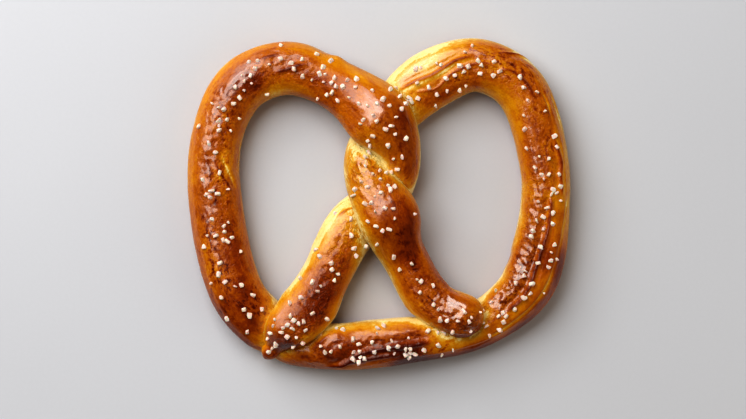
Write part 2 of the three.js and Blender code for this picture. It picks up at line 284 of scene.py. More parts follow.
# Patches drawn darker by their strength, or lighter where that is negative. Most are the crust's
# own colour; those marked paint shade or light
PATCHES = spots(
    ("left tip", 0.7, 48, 5, 4, 0.35),
    ("left end", 0.5, 48, 4, 3, -0.3),
    ("left leg, low", 0.55, 76, 7, 5, 0.3),
    ("left twist", -0.25, 45, 6, 5, 0.14),
    ("left twist", 0.75, 45, 9, 7, 0.12),
    ("left crown", 0.75, 108, 4, 3.5, 0.14),
    ("left crown", 0.42, 138, 10, 6, -0.22),
    ("left side, high", 0, 72, 8, 3, -0.14),
    ("left side, high", 0.3, 124, 7, 4, -0.16),
    ("left side, low", 0.1, 118, 12, 5, 0.08),
    ("left hip", 0.2, 116, 12, 5, 0.2),
    ("left hip", 0.5, 70, 8, 4, 0.1),
    # These two are partly painted shade on the belly's lower edge, which faces away from the key
    # light
    ("belly, right", 0.3, 22, 12, 4, 0.3),
    ("belly, right", 0, 34, 6, 5, 0.25),
    # Partly pale dough at the join, and partly painted light where the right leg's shadow falls
    ("belly, right", 0.5, 162, 7, 4, -0.25),
    # These five are dark patches on the outer edge, partly painted shade there, where it faces away
    # from the key light
    ("right belly", -0.1, 34, 8, 4, 0.3),
    ("right belly", 0.6, 30, 6, 3.8, 0.4),
    ("right hip", 0, 42, 6, 4.2, 0.42),
    ("right hip", 0.75, 34, 6, 4.2, 0.4),
    ("right side, low", 0.2, 38, 7, 4.2, 0.4),
    # Painted shade beside the crack on the right side
    ("right side, low", 0.1, 79, 8, 3, 0.35),
    ("right shoulder", 0.35, 8, 8, 3.5, -0.32),
    ("right crown", 0.05, 138, 5, 4, 0.3),
    ("right crown", 0.7, 130, 9, 2.5, 0.2),
    ("right neck", 0, 132, 6, 4, 0.15),
    ("right over", 0.05, 125, 8, 6, 0.06),
    ("right over", 0.6, 112, 8, 5, 0.14),
    ("right leg, middle", 0, 92, 5, 3, 0.15),
    ("right leg, middle", 0.5, 62, 6, 4, 0.16),
)

# Lumps on the crust, as high as their strength, or dents where that is negative
BUMPS = spots(
    ("left over", 0.5, 84, 5.5, 9, 0.8),
    ("left over", 0.5, 84, 14, 7, -1.1),
    ("left neck", 0.22, 24, 3.2, 3.2, -1.0),
    ("left neck", 0.46, 14, 4, 4, 0.7),
    ("right over", 0.66, 178, 5, 5, 1.1),
    ("right hip", 0.9, 180, 4, 4, 1.2),
    ("right leg, low", 0.55, 172, 4.5, 4.5, 0.8),
    ("right leg, low", 0.2, 80, 6, 6, 0.6),
    ("right tip", 0, 62, 5, 6, 0.8),
    ("left leg, low", 0.3, 60, 6, 6, 0.5),
    ("left crown", 0.7, 84, 12, 6, -0.6),
    ("left shoulder", 0.2, 84, 9, 6, -0.7),
    ("left shoulder", 0.15, 48, 13, 4.5, 0.8),
    ("left hip", 0.1, 95, 8, 8, 0.5),
    ("belly, left", 0.5, 110, 6, 6, 0.6),
    ("right shoulder", 0.9, 130, 5, 5, -0.5),
)

# Height, size and seed of each kind of unevenness
LUMPS = ((0.4, 17.0, 11), (0.16, 6.5, 12), (0.09, 2.5, 13), (0.035, 1.3, 14))
LUMP_DRAW = 1.8  # how much longer lumps are along the rope than across it
WRINKLES = ((0.55, 2.6, 21), (0.3, 1.4, 22))  # the same of the wrinkles in crinkled skin
TIP_RELIEF = (0.0, 0.5)  # scales of a free end's sections between which the relief sets in
TIP_GLOSS = (0.3, 0.9)  # and the shine

JOIN_APART = 55.0  # strands nearer than this along the rope are one strand
JOIN_LOOK = 6.0  # how far beyond touching another strand is looked for
JOIN_PALE = 0.64  # how light the dough stayed where two strands touch
JOIN_PALE_REACH = 3.0  # and how far from there
NO_STRAND = 1e3  # gap where no other strand is near
DEEPEST = 0.05  # least share of the way out of a strand that a corner in it may be

BAND_POWER = 3  # how evenly brown the band along the top is, before it fades
LEAST_MOTTLE = 0.3  # share of the specks that the sides have too
FOOT_ROUND = 0.6  # rounding where the crust leaves the baking sheet
FOOT_BAKE = 0.62  # how dark the baking sheet made the underside
RIM_PALE = 0.12  # how much lighter the rope is drawn where it is widest
RIM_REACH = 16.0  # and how many degrees from there
FLANK_BAKE = 0.38  # how dark the sides are below it, where they were paler above

# Degrees from the middle of the top at which each of these sets in, and at which it is whole
SIDE_EDGE = (40, 75)  # the right-hand and the left-hand edge
FLANK = (92, 106)  # the sides below the widest level
UNDERSIDE = (112, 135)
DULL = (42, 72)  # where the shine of the top ends

SAME_PLACE = 1e-4  # least distance between the knots of a curve
SLIVER = 0.005  # faces thinner than this are taken out
NOISE_SHIFT = (17.3, 5.1, 9.7)  # how far noise with one seed lies from the next


def smooth(value, low, high):
    """0 below low and 1 above high, with an even start and end in between."""
    share = np.clip((value - low) / (high - low), 0, 1)
    return share * share * (3 - 2 * share)


def squared(value, power):
    """A signed power, which keeps the quadrant of a sine or cosine."""
    return np.sign(value) * np.abs(value) ** (2 / power)


def spline(points, places, power):
    """A Catmull-Rom curve through points, at places counted in points, with its direction.

    Knots are spaced by the distance between points to twice this power: 0.25 keeps the curve
    from looping between points that lie close together, and 0 spaces them evenly.
    """
    points = np.asarray(points, float)
    padded = np.vstack([2 * points[0] - points[1], points, 2 * points[-1] - points[-2]])
    first = np.clip(np.floor(places).astype(int), 0, len(points) - 2)
    share = (places - first)[:, None]
    p0, p1, p2, p3 = (padded[first + k] for k in range(4))

    def knots(a, b):
        return np.maximum(((a - b) ** 2).sum(1, keepdims=True) ** power, SAME_PLACE)

    d0, d1, d2 = knots(p0, p1), knots(p1, p2), knots(p2, p3)
    leave = ((p1 - p0) / d0 - (p2 - p0) / (d0 + d1) + (p2 - p1) / d1) * d1
    arrive = ((p2 - p1) / d1 - (p3 - p1) / (d1 + d2) + (p3 - p2) / d2) * d1
    square = 3 * (p2 - p1) - 2 * leave - arrive
    cube = 2 * (p1 - p2) + leave + arrive
    where = p1 + leave * share + square * share**2 + cube * share**3
    return where, leave + 2 * square * share + 3 * cube * share**2


def station_values(names, places):
    """Named values of the stations at places on the route, one column for each name."""
    return spline([[s[name] for name in names] for s in ROUTE], places, 0.0)[0]


def rope_at(places):
    """The rope at places on the route: its centre, side and direction, and its sizes."""
    centre, along = spline([(s["x"], s["y"]) for s in ROUTE], places, 0.25)
    along /= np.linalg.norm(along, axis=1, keepdims=True)
    width, height, lift = station_values(("width", "height", "lift"), places).T
    return SimpleNamespace(
        centre=centre, along=along, side=np.stack([along[:, 1], -along[:, 0]], 1),
        width=width, height=height, lift=np.maximum(lift, 0))


def places_between(start, end, step):
    """Places on the route from one to another, about a step apart, and how far along they are."""
    marks = np.linspace(start, end, (end - start) * PLACES_A_STATION + 1)
    steps = np.linalg.norm(np.diff(rope_at(marks).centre, axis=0), axis=1)
    lengths = np.concatenate([[0], np.cumsum(steps)])
    distances = np.linspace(0, lengths[-1], round(lengths[-1] / step) + 1)
    return np.interp(distances, lengths, marks), distances


def dough_noise(points, size, seed):
    """Smooth noise from about -1 to 1 at points, an array with three numbers in its last axis."""
    shift = np.array(NOISE_SHIFT) * seed
    flat = (points / size + shift).reshape(-1, 3)
    return np.array([noise.noise(Vector(point)) for point in flat]).reshape(points.shape[:-1])


# ---- Sections of the rope, and the relief on them ----


def section_angles():
    """The angles of a section's corners, in degrees, starting at the right-hand side."""
    top = np.linspace(0, 180, TOP_CORNERS, endpoint=False)
    foot = np.linspace(180, 360, FOOT_CORNERS, endpoint=False)
    return np.concatenate([top, foot])


def cap_sections(width, outwards):
    """Scales and shifts of the sections that round off a free end, from its pole inwards."""
    lean = np.pi / 2 * (np.arange(CAP_RINGS) + FIRST_CAP_RING) / CAP_RINGS
    return np.sin(lean), outwards * 0.5 * width * np.cos(lean)


def rope_sections(step):
    """Every section of the rope: its place, distance along it, scale and shift."""
    places, distances = places_between(START, END, step)
    width = rope_at(np.array([START, END], float)).width
    first_scales, first_shifts = cap_sections(width[0], -1)
    last_scales, last_shifts = (end[::-1] for end in cap_sections(width[1], 1))
    ones = np.ones(len(places))
    return SimpleNamespace(
        place=np.concatenate([START * ones[:CAP_RINGS], places, END * ones[:CAP_RINGS]]),
        distance=np.concatenate([first_shifts, distances, distances[-1] + last_shifts]),
        scale=np.concatenate([first_scales, ones, last_scales]),
        shift=np.concatenate([first_shifts, 0 * ones, last_shifts]))


def half_section(above, height):
    """How far a section reaches up or down from its waist, and its superellipse power there.
    above is where to look: over the waist if it is at least 0, and under it if not."""
    waist = WAIST * height
    reach = np.where(above >= 0, height - waist, waist + SINK)
    return reach, np.where(above >= 0, TOP_ROUND, BASE_ROUND)


def crust_corners(sections, rope, angles):
    """Corners of smooth sections, as an array of sections by angles by three."""
    turn = np.radians(angles)[None, :]
    scale, high = sections.scale[:, None], rope.height[:, None]
    reach, power = half_section(np.sin(turn), high)
    aside = 0.5 * rope.width[:, None] * (squared(np.cos(turn), power) * scale)
    up = reach * (squared(np.sin(turn), power) * scale)
    level = rope.centre + rope.along * sections.shift[:, None]
    flat = level[:, None] + rope.side[:, None] * aside[..., None]
    height = rope.lift[:, None] + WAIST * high + up
    return np.concatenate([flat, height[..., None]], 2)


def straightened(sections, rope, corners):
    """The same corners with the rope laid out straight: distance along, aside and height."""
    aside = ((corners[..., :2] - rope.centre[:, None]) * rope.side[:, None]).sum(2)
    along = np.broadcast_to(sections.distance[:, None], aside.shape)
    return np.stack([along, aside, corners[..., 2] - rope.lift[:, None]], 2)


def outward(corners):
    """Directions out of the crust at its corners."""
    along = np.gradient(corners, axis=0)
    around = np.roll(corners, -1, axis=1) - np.roll(corners, 1, axis=1)
    normals = np.cross(around, along)
    return normals / np.linalg.norm(normals, axis=2, keepdims=True)


def along_run(values, share):
    """Evenly spaced values, run smoothly from the first at share 0 to the last at share 1."""
    places = np.clip(share, 0, 1) * (len(values) - 1)
    return spline([[value] for value in values], places, 0.0)[0][:, 0]


def run_of(form, place, fade):
    """How far along a form each place is, from 0 to 1, and how strong the form is there."""
    share = (place - form.start) / (form.end - form.start)
    strength = smooth(np.minimum(place - form.start, form.end - place), 0, fade)
    return share, strength


def round_from(angle, around, width):
    """How far round the rope each corner is from an angle."""
    return np.radians(around - angle) * 0.5 * width[:, None]


def ridge(away, middle, width):
    """A rounded ridge: 1 in its middle and 0 far from it."""
    return np.exp(-((away - middle) / width) ** 2)


def fold_relief(layers, place, around, width):
    """Add every fold to the crust's layers. around is each corner's angle from -90 to 270."""
    run = np.stack([layers["distance"][:, 0], 0 * place, 0 * place], 1)
    for number, form in enumerate(FOLDS):
        share, strength = run_of(form, place, FOLD_FADE)
        strength = strength[:, None]
        wander = dough_noise(run, WANDER_SIZE, WANDER_SEED + number)
        angle = along_run(form.angles, share) + FOLD_WANDER * wander
        away = round_from(angle[:, None], around, width) / form.width
        lips = ridge(np.abs(away), LIP_AWAY, LIP_WIDTH)
        skin = ridge(away, form.skin * SKIN_AWAY, SKIN_WIDTH) * abs(form.skin)
        bare = ridge(away, -form.skin * BARE_AWAY, BARE_WIDTH)
        profile = LIP * lips + SKIN_STEP * skin - ridge(away, 0, 1)
        layers["height"] += form.depth * strength * profile
        dark = 1 if form.depth > 0 else -RIDGE_PALE
        # Painted shade, in part: a crack's dark line stands for the shade in its groove as well as
        # its darker crust; a ridge is drawn lighter
        layers["line"] += dark * strength * ridge(away, 0, LINE_WIDTH)
        layers["pale"] += form.pale * strength * bare
        layers["gloss"] *= 1 - FOLD_DULL * strength * ridge(away, 0, DULL_WIDTH)


def stretch_relief(layers, place, around):
    """Add the light, drawn-out dough between folds."""
    for form in STRETCHES:
        share, strength = run_of(form, place, 2 * FOLD_FADE)
        right = along_run(form.right, share)[:, None]
        left = along_run(form.left, share)[:, None]
        inside = smooth(around, right, right + STRETCH_EDGE)
        inside = inside * smooth(-around, -left, STRETCH_EDGE - left) * strength[:, None]
        layers["height"] -= STRETCH_SINK * inside
        layers["bake"] += (form.tone - layers["bake"]) * inside
        layers["crinkle"] *= 1 - inside
        layers["gloss"] *= 1 - STRETCH_DULL * inside


def add_spots(name, forms, layers, place, around, width):
    """Add round forms to one of the crust's layers."""
    distance = layers["distance"]
    for form in forms:
        away = round_from(form.angle, around, width) / form.around
        past = distance - np.interp(form.place, place, distance[:, 0])
        near = np.exp(-(away**2) - (past / form.along) ** 2)
        layers[name] += form.strength * near


def gaps_to_other_strands(sections, rope, corners):
    """About how far each corner is from the nearest other strand; below 0 inside it."""
    gaps = np.full(corners.shape[:2], NO_STRAND)
    distance = sections.distance
    middle = rope.centre + rope.along * sections.shift[:, None]
    waist = WAIST * rope.height
    ends = np.minimum(distance - distance[0], distance[-1] - distance) < 0.5 * rope.width
    for i in range(len(distance)):
        touching = 0.5 * (rope.width + rope.width[i])
        others = np.flatnonzero(
            (np.abs(distance - distance[i]) > JOIN_APART)
            & (np.linalg.norm(middle - middle[i], axis=1) < touching + JOIN_LOOK)
            & (sections.scale == 1))
        if not len(others):
            continue
        apart = corners[i, :, None, :2] - rope.centre[others]
        nearest = (apart**2).sum(2).argmin(1)
        pick = others[nearest]
        apart = apart[np.arange(len(nearest)), nearest]
        aside = (apart * rope.side[pick]).sum(1)
        ahead = np.where(ends[pick], (apart * rope.along[pick]).sum(1), 0)
        above = corners[i, :, 2] - rope.lift[pick] - waist[pick]
        reach, power = half_section(above, rope.height[pick])
        half = 0.5 * rope.width[pick]
        size = (np.abs(aside / half) ** power + np.abs(above / reach) ** power
                + np.abs(ahead / half) ** power) ** (1 / power)
        far = np.sqrt(aside**2 + above**2 + ahead**2)
        gaps[i] = far * (1 - 1 / np.maximum(size, DEEPEST))
    return gaps


def join_fillet(gaps, softness):
    """How far the dough swells where two strands run into each other."""
    outside = softness * np.log1p(np.exp(-np.maximum(gaps, 0) / softness))
    inside = np.exp(-(np.minimum(gaps, 0) / (2 * softness)) ** 2)
    return outside * inside


def baked(place, around):
    """How dark, mottled and crinkled each corner is: as the oven left it, with painted shade and
    light at some edges and a lighter rim where the rope is widest.
    """
    brown, band, spread, edge, right, left, mottle, gloss, crinkle = station_values(
        BAKE, place).T[..., None]
    aslant = around - 90
    off = np.abs(aslant)
    plateau = np.exp(-np.abs((around - band) / spread) ** BAND_POWER)
    under = smooth(off, *UNDERSIDE)
    bake = edge + (brown - edge) * plateau
    bake += right * smooth(-aslant, *SIDE_EDGE) + left * smooth(aslant, *SIDE_EDGE)
    bake -= RIM_PALE * smooth(-np.abs(off - 90), -RIM_REACH, -RIM_REACH / 3)
    bake += np.maximum(FLANK_BAKE - bake, 0) * smooth(off, *FLANK)
    bake += (FOOT_BAKE - bake) * under
    skin = plateau * (1 - under)
    return {
        "bake": bake, "mottle": mottle * np.maximum(skin, LEAST_MOTTLE),
        "crinkle": crinkle * skin**2, "gloss": gloss * smooth(-off, -DULL[1], -DULL[0]),
    }


def floored(height):
    """The crust lies flat on the baking sheet, and leaves it with a small rounding."""
    rounded = (height + FOOT_ROUND) ** 2 / (4 * FOOT_ROUND)
    return np.where(height < -FOOT_ROUND, 0, np.where(height < FOOT_ROUND, rounded, height))


def dough_surface(settings):
    """The whole rope as a grid of corners, with the layers that its crust is made of."""
    sections = rope_sections(settings.section_step / MM)
    place = sections.place
    rope = rope_at(place)
    angles = section_angles()
    around = np.where(angles > 270, angles - 360, angles)[None, :]
    corners = crust_corners(sections, rope, angles)
    straight = straightened(sections, rope, corners)
    drawn = straight / np.array([LUMP_DRAW, 1, 1])
    gaps = gaps_to_other_strands(sections, rope, corners)
    layers = {
        **baked(place, around),
        **{name: np.zeros(gaps.shape) for name in ("height", "pale", "line")},
        "distance": np.broadcast_to(sections.distance[:, None], gaps.shape),
    }
    fold_relief(layers, place, around, rope.width)
    stretch_relief(layers, place, around)
    add_spots("bake", PATCHES, layers, place, around, rope.width)
    add_spots("height", BUMPS, layers, place, around, rope.width)
    relief = layers["height"] * settings.fold_depth
    for height, size, seed in LUMPS:
        relief += settings.lump_height * height * dough_noise(drawn, size, seed)
    for height, size, seed in WRINKLES:
        wrinkles = height * dough_noise(straight, size, seed) * layers["crinkle"]
        relief += settings.lump_height * wrinkles
    relief += join_fillet(gaps, settings.join_softness / MM)
    relief *= smooth(sections.scale, *TIP_RELIEF)[:, None]
    layers["gloss"] *= smooth(sections.scale, *TIP_GLOSS)[:, None]
    corners = corners + outward(corners) * relief[..., None]
    corners[..., 2] = floored(corners[..., 2])
    layers["pale"] += JOIN_PALE * np.exp(-(np.maximum(gaps, 0) / JOIN_PALE_REACH) ** 2)
    kept = {name: layers[name] for name in ("bake", "mottle", "crinkle", "gloss", "pale", "line")}
    return sections, corners, {"straight": straight * MM, **kept}


# ---- Meshes ----


def grid_faces(rings, sides):
    """Faces of a tube of rings, closed at both ends by fans to two more vertices."""
    first, last = rings * sides, rings * sides + 1
    faces = []
    for ring in range(rings - 1):
        for side in range(sides):
            a = ring * sides + side
            b = ring * sides + (side + 1) % sides
            faces.append((a, a + sides, b + sides, b))
    end = (rings - 1) * sides
    for side in range(sides):
        after = (side + 1) % sides
        faces.append((first, side, after))
        faces.append((last, end + after, end + side))
    return faces


def new_object(name, data):
    """An object in the scene that shows a mesh, a light or a camera."""
    thing = bpy.data.objects.new(name, data)
    bpy.context.scene.collection.objects.link(thing)
    return thing


def overlapping(corners, cuts):
    """Rings of the strands between cuts. Each strand narrows a little where it runs on past a
    cut, so it ends inside the next one."""
    last = len(corners) - 1
    starts = [0] + [cut - OVERLAP for cut in cuts]
    ends = [cut + OVERLAP for cut in cuts] + [last]
    for start, end, before, after in zip(starts, ends, [0] + cuts, cuts + [last]):
        number = np.arange(start, end + 1)
        past = np.maximum(number - after, 0) + np.maximum(before - number + 0.5, 0) * (before > 0)
        narrow = (1 - NARROWING * past**2)[:, None, None]
        rings = corners[start:end + 1]
        centre = rings.mean(1, keepdims=True)
        yield centre + (rings - centre) * narrow


def strand_object(name, corners):
    """A closed strand of the rope between two of its sections."""
    rings, sides = corners.shape[:2]
    ends = [corners[0].mean(0), corners[-1].mean(0)]
    mesh = bpy.data.meshes.new(name)
    mesh.from_pydata(
        np.vstack([corners.reshape(-1, 3), ends]) * MM, [], grid_faces(rings, sides))
    return new_object(name, mesh)


def joined_strands(name, strands):
    """One mesh of the outside of all strands, which are used up."""
    whole = strands[0]
    for other in strands[1:]:
        union = whole.modifiers.new("join", "BOOLEAN")
        union.operation = "UNION"
        union.solver = "MANIFOLD"
        union.object = other
    evaluated = whole.evaluated_get(bpy.context.evaluated_depsgraph_get())
    mesh = bpy.data.meshes.new_from_object(evaluated)
    mesh.name = name
    for strand in strands:
        used = strand.data
        bpy.data.objects.remove(strand)
        bpy.data.meshes.remove(used)
    without_slivers(mesh)
    return mesh


def without_slivers(mesh):
    """Take out the thinnest faces, which the union leaves where two strands meet."""
    work = bmesh.new()
    work.from_mesh(mesh)
    bmesh.ops.dissolve_degenerate(work, dist=SLIVER * MM, edges=work.edges)
    bmesh.ops.triangulate(work, faces=[face for face in work.faces if len(face.verts) > 4])
    work.to_mesh(mesh)
    work.free()


def carry_layers(mesh, corners, layers):
    """Give each vertex of a mesh the layers of the nearest corner of the rope."""
    points = corners.reshape(-1, 3) * MM
    tree = KDTree(len(points))
    for index, point in enumerate(points):
        tree.insert(point, index)
    tree.balance()
    nearest = [tree.find(vertex.co)[1] for vertex in mesh.vertices]
    for name, values in layers.items():
        vector = values.ndim == 3
        flat = values.reshape(len(points), -1)[nearest].astype(np.float32)
        layer = mesh.attributes.new(name, "FLOAT_VECTOR" if vector else "FLOAT", "POINT")
        layer.data.foreach_set("vector" if vector else "value", flat.ravel())


# ---- Salt ----

SALT_STEP = 5.0  # distance the salting hand moves between drops
GRAINS_A_STEP = 4  # grains it may drop at each
SALT_REACH = 0.95  # share of the rope's half width that it reaches
GRAIN_RISE = (1.0, 1.5)  # how far a grain stands out of the crust
GRAIN_SUNK = 1.0  # how deep it reaches into it
GRAIN_TAPER = (0.45, 0.8)  # width of its top, as a share of its foot
GRAIN_LEAN = 0.12  # how far its top is off centre, as a share of its foot
GRAIN_GAP = 2.4  # least distance between two grains
STEEPEST = 0.5  # salt stays where the crust's normal points up at least this much
FALL_FROM = 100.0  # height it falls from
GRAIN_CUTS = 5  # faces along each edge of a grain's block
GRAIN_SQUARE = 7.0  # superellipse power of a grain's block: 2 is a ball and more is squarer
GRAIN_LONG = 0.22  # how much longer than wide a grain may be drawn
CHIPS = 6  # corners chipped off each grain
CHIP_KEEPS = (0.6, 1.15)  # how far from its middle a chip is cut
CHIP_SEED = 77  # seed of the chips, the grains' length and how clear they are

CRUMB_AMOUNT = 0.45  # chance of a crumb of salt, as a share of the chance of a grain
CRUMB_SIZE = 0.68  # its size, as a share of a grain's
CRUMB_GAP = 1.9  # least distance between a crumb and its neighbours
PINCH_REACH = 3.0  # how far the grains of a pinch lie from its middle
PINCH_GAP = 1.75  # least distance between them
PINCH_TRIES = 6  # how often a grain of a pinch that found no room is dropped again
WORD, STRIDE = 0xFFFFFFFF, 0x6D2B79F5  # of the random numbers: 32 bits, and their step

# Places on the crust where several grains lie close together: near which station and how far past
# it, at which angle round the section, and how many grains
PINCHES = [
    ("left end", 0.55, 95, 5),
    ("left side, low", 0.05, 98, 3),
    ("left side, high", 0.6, 85, 3),
    ("left over", 0.95, 100, 2),
    ("belly, left", 0.7, 60, 3),
    ("belly, right", 0, 58, 6),
    ("right belly", 0.5, 77, 5),
    ("right side", 0.45, 72, 4),
    ("right neck", 0.5, 95, 5),
]


def draws(seed):
    """A function that gives the same numbers from 0 to 1, one by one, for the same seed."""
    state = seed & WORD

    def draw():
        nonlocal state
        state = (state + STRIDE) & WORD
        mixed = ((state ^ (state >> 15)) * (1 | state)) & WORD
        mixed ^= (mixed + (((mixed ^ (mixed >> 7)) * (61 | mixed)) & WORD)) & WORD
        return (mixed ^ (mixed >> 14)) / 2**32

    return draw


def between(limits, share):
    """The number that lies so far from the first limit towards the second."""
    return limits[0] + (limits[1] - limits[0]) * share


def spread(draw):
    """A number from -1 to 1, mostly near 0."""
    return draw() + draw() - 1


def fresh_grain(draw, edges):
    """The form of one grain, whose edges lie between two lengths."""
    return {
        "yaw": draw() * 2 * np.pi,
        "rise": between(GRAIN_RISE, draw()),
        "edges": (between(edges, draw()), between(edges, draw())),
        "taper": (between(GRAIN_TAPER, draw()), between(GRAIN_TAPER, draw())),
        "lean": (spread(draw) * GRAIN_LEAN, spread(draw) * GRAIN_LEAN),
    }


def settle(seats, dough, middle, gap, grain):
    """Let one grain fall straight down, and keep it if it finds room on the crust."""
    seat, normal, _, _ = dough.ray_cast(Vector(middle) * MM, Vector((0, 0, -1)))
    if seat is None or normal.z <= STEEPEST:
        return False
    if any((seat - other.seat).length <= gap * MM for other in seats):
        return False
    seats.append(SimpleNamespace(seat=seat, normal=normal, **grain))
    return True


def scatter(seats, dough, draw, amount, edges, gap):
    """Drop grains along the whole rope."""
    places, _ = places_between(START, END, SALT_STEP)
    rope = rope_at(places)
    salt = np.interp(places, range(len(ROUTE)), [s["salt"] for s in ROUTE])
    sides = np.hstack([rope.side, np.zeros((len(places), 1))])
    alongs = np.hstack([rope.along, np.zeros((len(places), 1))])
    for step in range(len(places)):
        for _ in range(GRAINS_A_STEP):
            chance = draw()
            middle = np.append(rope.centre[step], FALL_FROM)
            middle += sides[step] * spread(draw) * 0.5 * rope.width[step] * SALT_REACH
            middle += alongs[step] * spread(draw) * SALT_STEP
            grain = fresh_grain(draw, edges)
            if chance < salt[step] * amount:
                settle(seats, dough, middle, gap, grain)


def scatter_pinches(seats, dough, draw, edges):
    """Drop the grains of every pinch, close together."""
    for near, past, angle, grains in PINCHES:
        rope = rope_at(np.array([place_of(near, past)]))
        aside = 0.5 * rope.width[0] * np.cos(np.radians(angle))
        centre = rope.centre[0] + rope.side[0] * aside
        for _ in range(grains):
            for _ in range(PINCH_TRIES):
                away = np.array([spread(draw), spread(draw)]) * PINCH_REACH
                if settle(seats, dough, (*(centre + away), FALL_FROM), PINCH_GAP,
                          fresh_grain(draw, edges)):
                    break


def grain_seats(dough, settings):
    """Where all salt comes to rest: the grains, the pinches and the crumbs between them."""
    edges = np.array([settings.shortest_edge, settings.longest_edge]) / MM
    seats = []
    scatter(seats, dough, draws(settings.seed), settings.amount, edges, GRAIN_GAP)
    scatter_pinches(seats, dough, draws(settings.seed + 1), edges)
    scatter(seats, dough, draws(settings.seed + 2), settings.amount * CRUMB_AMOUNT,
            edges * CRUMB_SIZE, CRUMB_GAP)
    return seats


def grain_template():
    """A rounded block from -1 to 1 each way, as directions of its vertices and its faces."""
    steps = np.linspace(-1, 1, GRAIN_CUTS + 1)
    points, faces, known = [], [], {}

    def vertex(point):
        key = tuple(np.round(point, 6))
        if key not in known:
            known[key] = len(points)
            points.append(key)
        return known[key]

    for axis in range(3):
        for end in (-1, 1):
            for a, b in np.ndindex(GRAIN_CUTS, GRAIN_CUTS):
                ring = []
                for da, db in ((0, 0), (1, 0), (1, 1), (0, 1))[::end]:
                    point = np.empty(3)
                    point[axis] = end
                    point[(axis + 1) % 3] = steps[a + da]
                    point[(axis + 2) % 3] = steps[b + db]
                    ring.append(vertex(point))
                faces.append(ring)
    block = np.array(points)
    size = (np.abs(block) ** GRAIN_SQUARE).sum(1, keepdims=True) ** (1 / GRAIN_SQUARE)
    return block / size, np.array(faces)


def chipped(block, draw):
    """The block with some of its corners cut off flat."""
    block = block.copy()
    for _ in range(CHIPS):
        way = np.array([draw() - 0.5, draw() - 0.5, draw() - 0.5])
        way /= np.linalg.norm(way)
        beyond = block @ way - between(CHIP_KEEPS, draw())
        block -= np.maximum(beyond, 0)[:, None] * way
    return block


def grain_points(form, block, long):
    """The block stretched over one grain, which narrows upwards and stands on the crust.

    long is how much it is drawn out one way and narrowed the other.
    """
    normal = np.array(form.normal)
    heading = (np.cos(form.yaw), np.sin(form.yaw), 0)
    first = np.cross(heading, normal)
    first /= np.linalg.norm(first)
    second = np.cross(normal, first)
    upper = (block[:, 2] + 1) / 2
    sizes = []
    for axis, drawn in enumerate((1 + long, 1 - long)):
        taper = 1 + (form.taper[axis] - 1) * upper
        edge = form.edges[axis] * drawn
        sizes.append(edge * (0.5 * block[:, axis] * taper + form.lean[axis] * upper))
    level = -GRAIN_SUNK + (form.rise + GRAIN_SUNK) * upper
    offsets = sizes[0][:, None] * first + sizes[1][:, None] * second + level[:, None] * normal
    return np.array(form.seat) + offsets * MM


def salt_mesh(name, seats):
    """All grains as one mesh. Its layer tone is how clear each grain is."""
    block, faces = grain_template()
    draw = draws(CHIP_SEED)
    points = np.vstack([
        grain_points(form, chipped(block, draw), GRAIN_LONG * draw()) for form in seats])
    quads = np.vstack([faces + len(block) * number for number in range(len(seats))])
    mesh = bpy.data.meshes.new(name)
    mesh.from_pydata(points, [], quads.tolist())
    tones = np.repeat([draw() for _ in seats], len(block)).astype(np.float32)
    mesh.attributes.new("tone", "FLOAT", "POINT").data.foreach_set("value", tones)
    return mesh


# ---- Materials ----

MIX_A, MIX_B, MIX_COLOUR = 6, 7, 2  # sockets of a Mix node for colours


def tint(red, green, blue):
    """A colour as Blender keeps it, from the numbers of a colour chart."""
    chart = np.array([red, green, blue]) / 255
    return tuple(np.where(chart <= 0.04045, chart / 12.92, ((chart + 0.055) / 1.055) ** 2.4))


class Wire:
    """A socket of a material. Arithmetic on wires adds Math nodes."""

    def __init__(self, shader, socket):
        self.shader = shader
        self.socket = socket

    def math(self, operation, *terms):
        return self.shader.node(
            "ShaderNodeMath", {"operation": operation}, dict(enumerate(terms)))

    def __add__(self, other):
        return self.math("ADD", self, other)

    def __sub__(self, other):
        return self.math("SUBTRACT", self, other)

    def __rsub__(self, other):
        return self.math("SUBTRACT", other, self)

    def __mul__(self, other):
        return self.math("MULTIPLY", self, other)

    __radd__ = __add__
    __rmul__ = __mul__

    def at_least(self, low):
        return self.math("MAXIMUM", self, low)

    def rising(self, low, high):
        """0 below low and 1 above high, with an even start and end in between."""
        return self.shader.node(
            "ShaderNodeMapRange", {"interpolation_type": "SMOOTHSTEP"},
            {"Value": self, "From Min": low, "From Max": high})


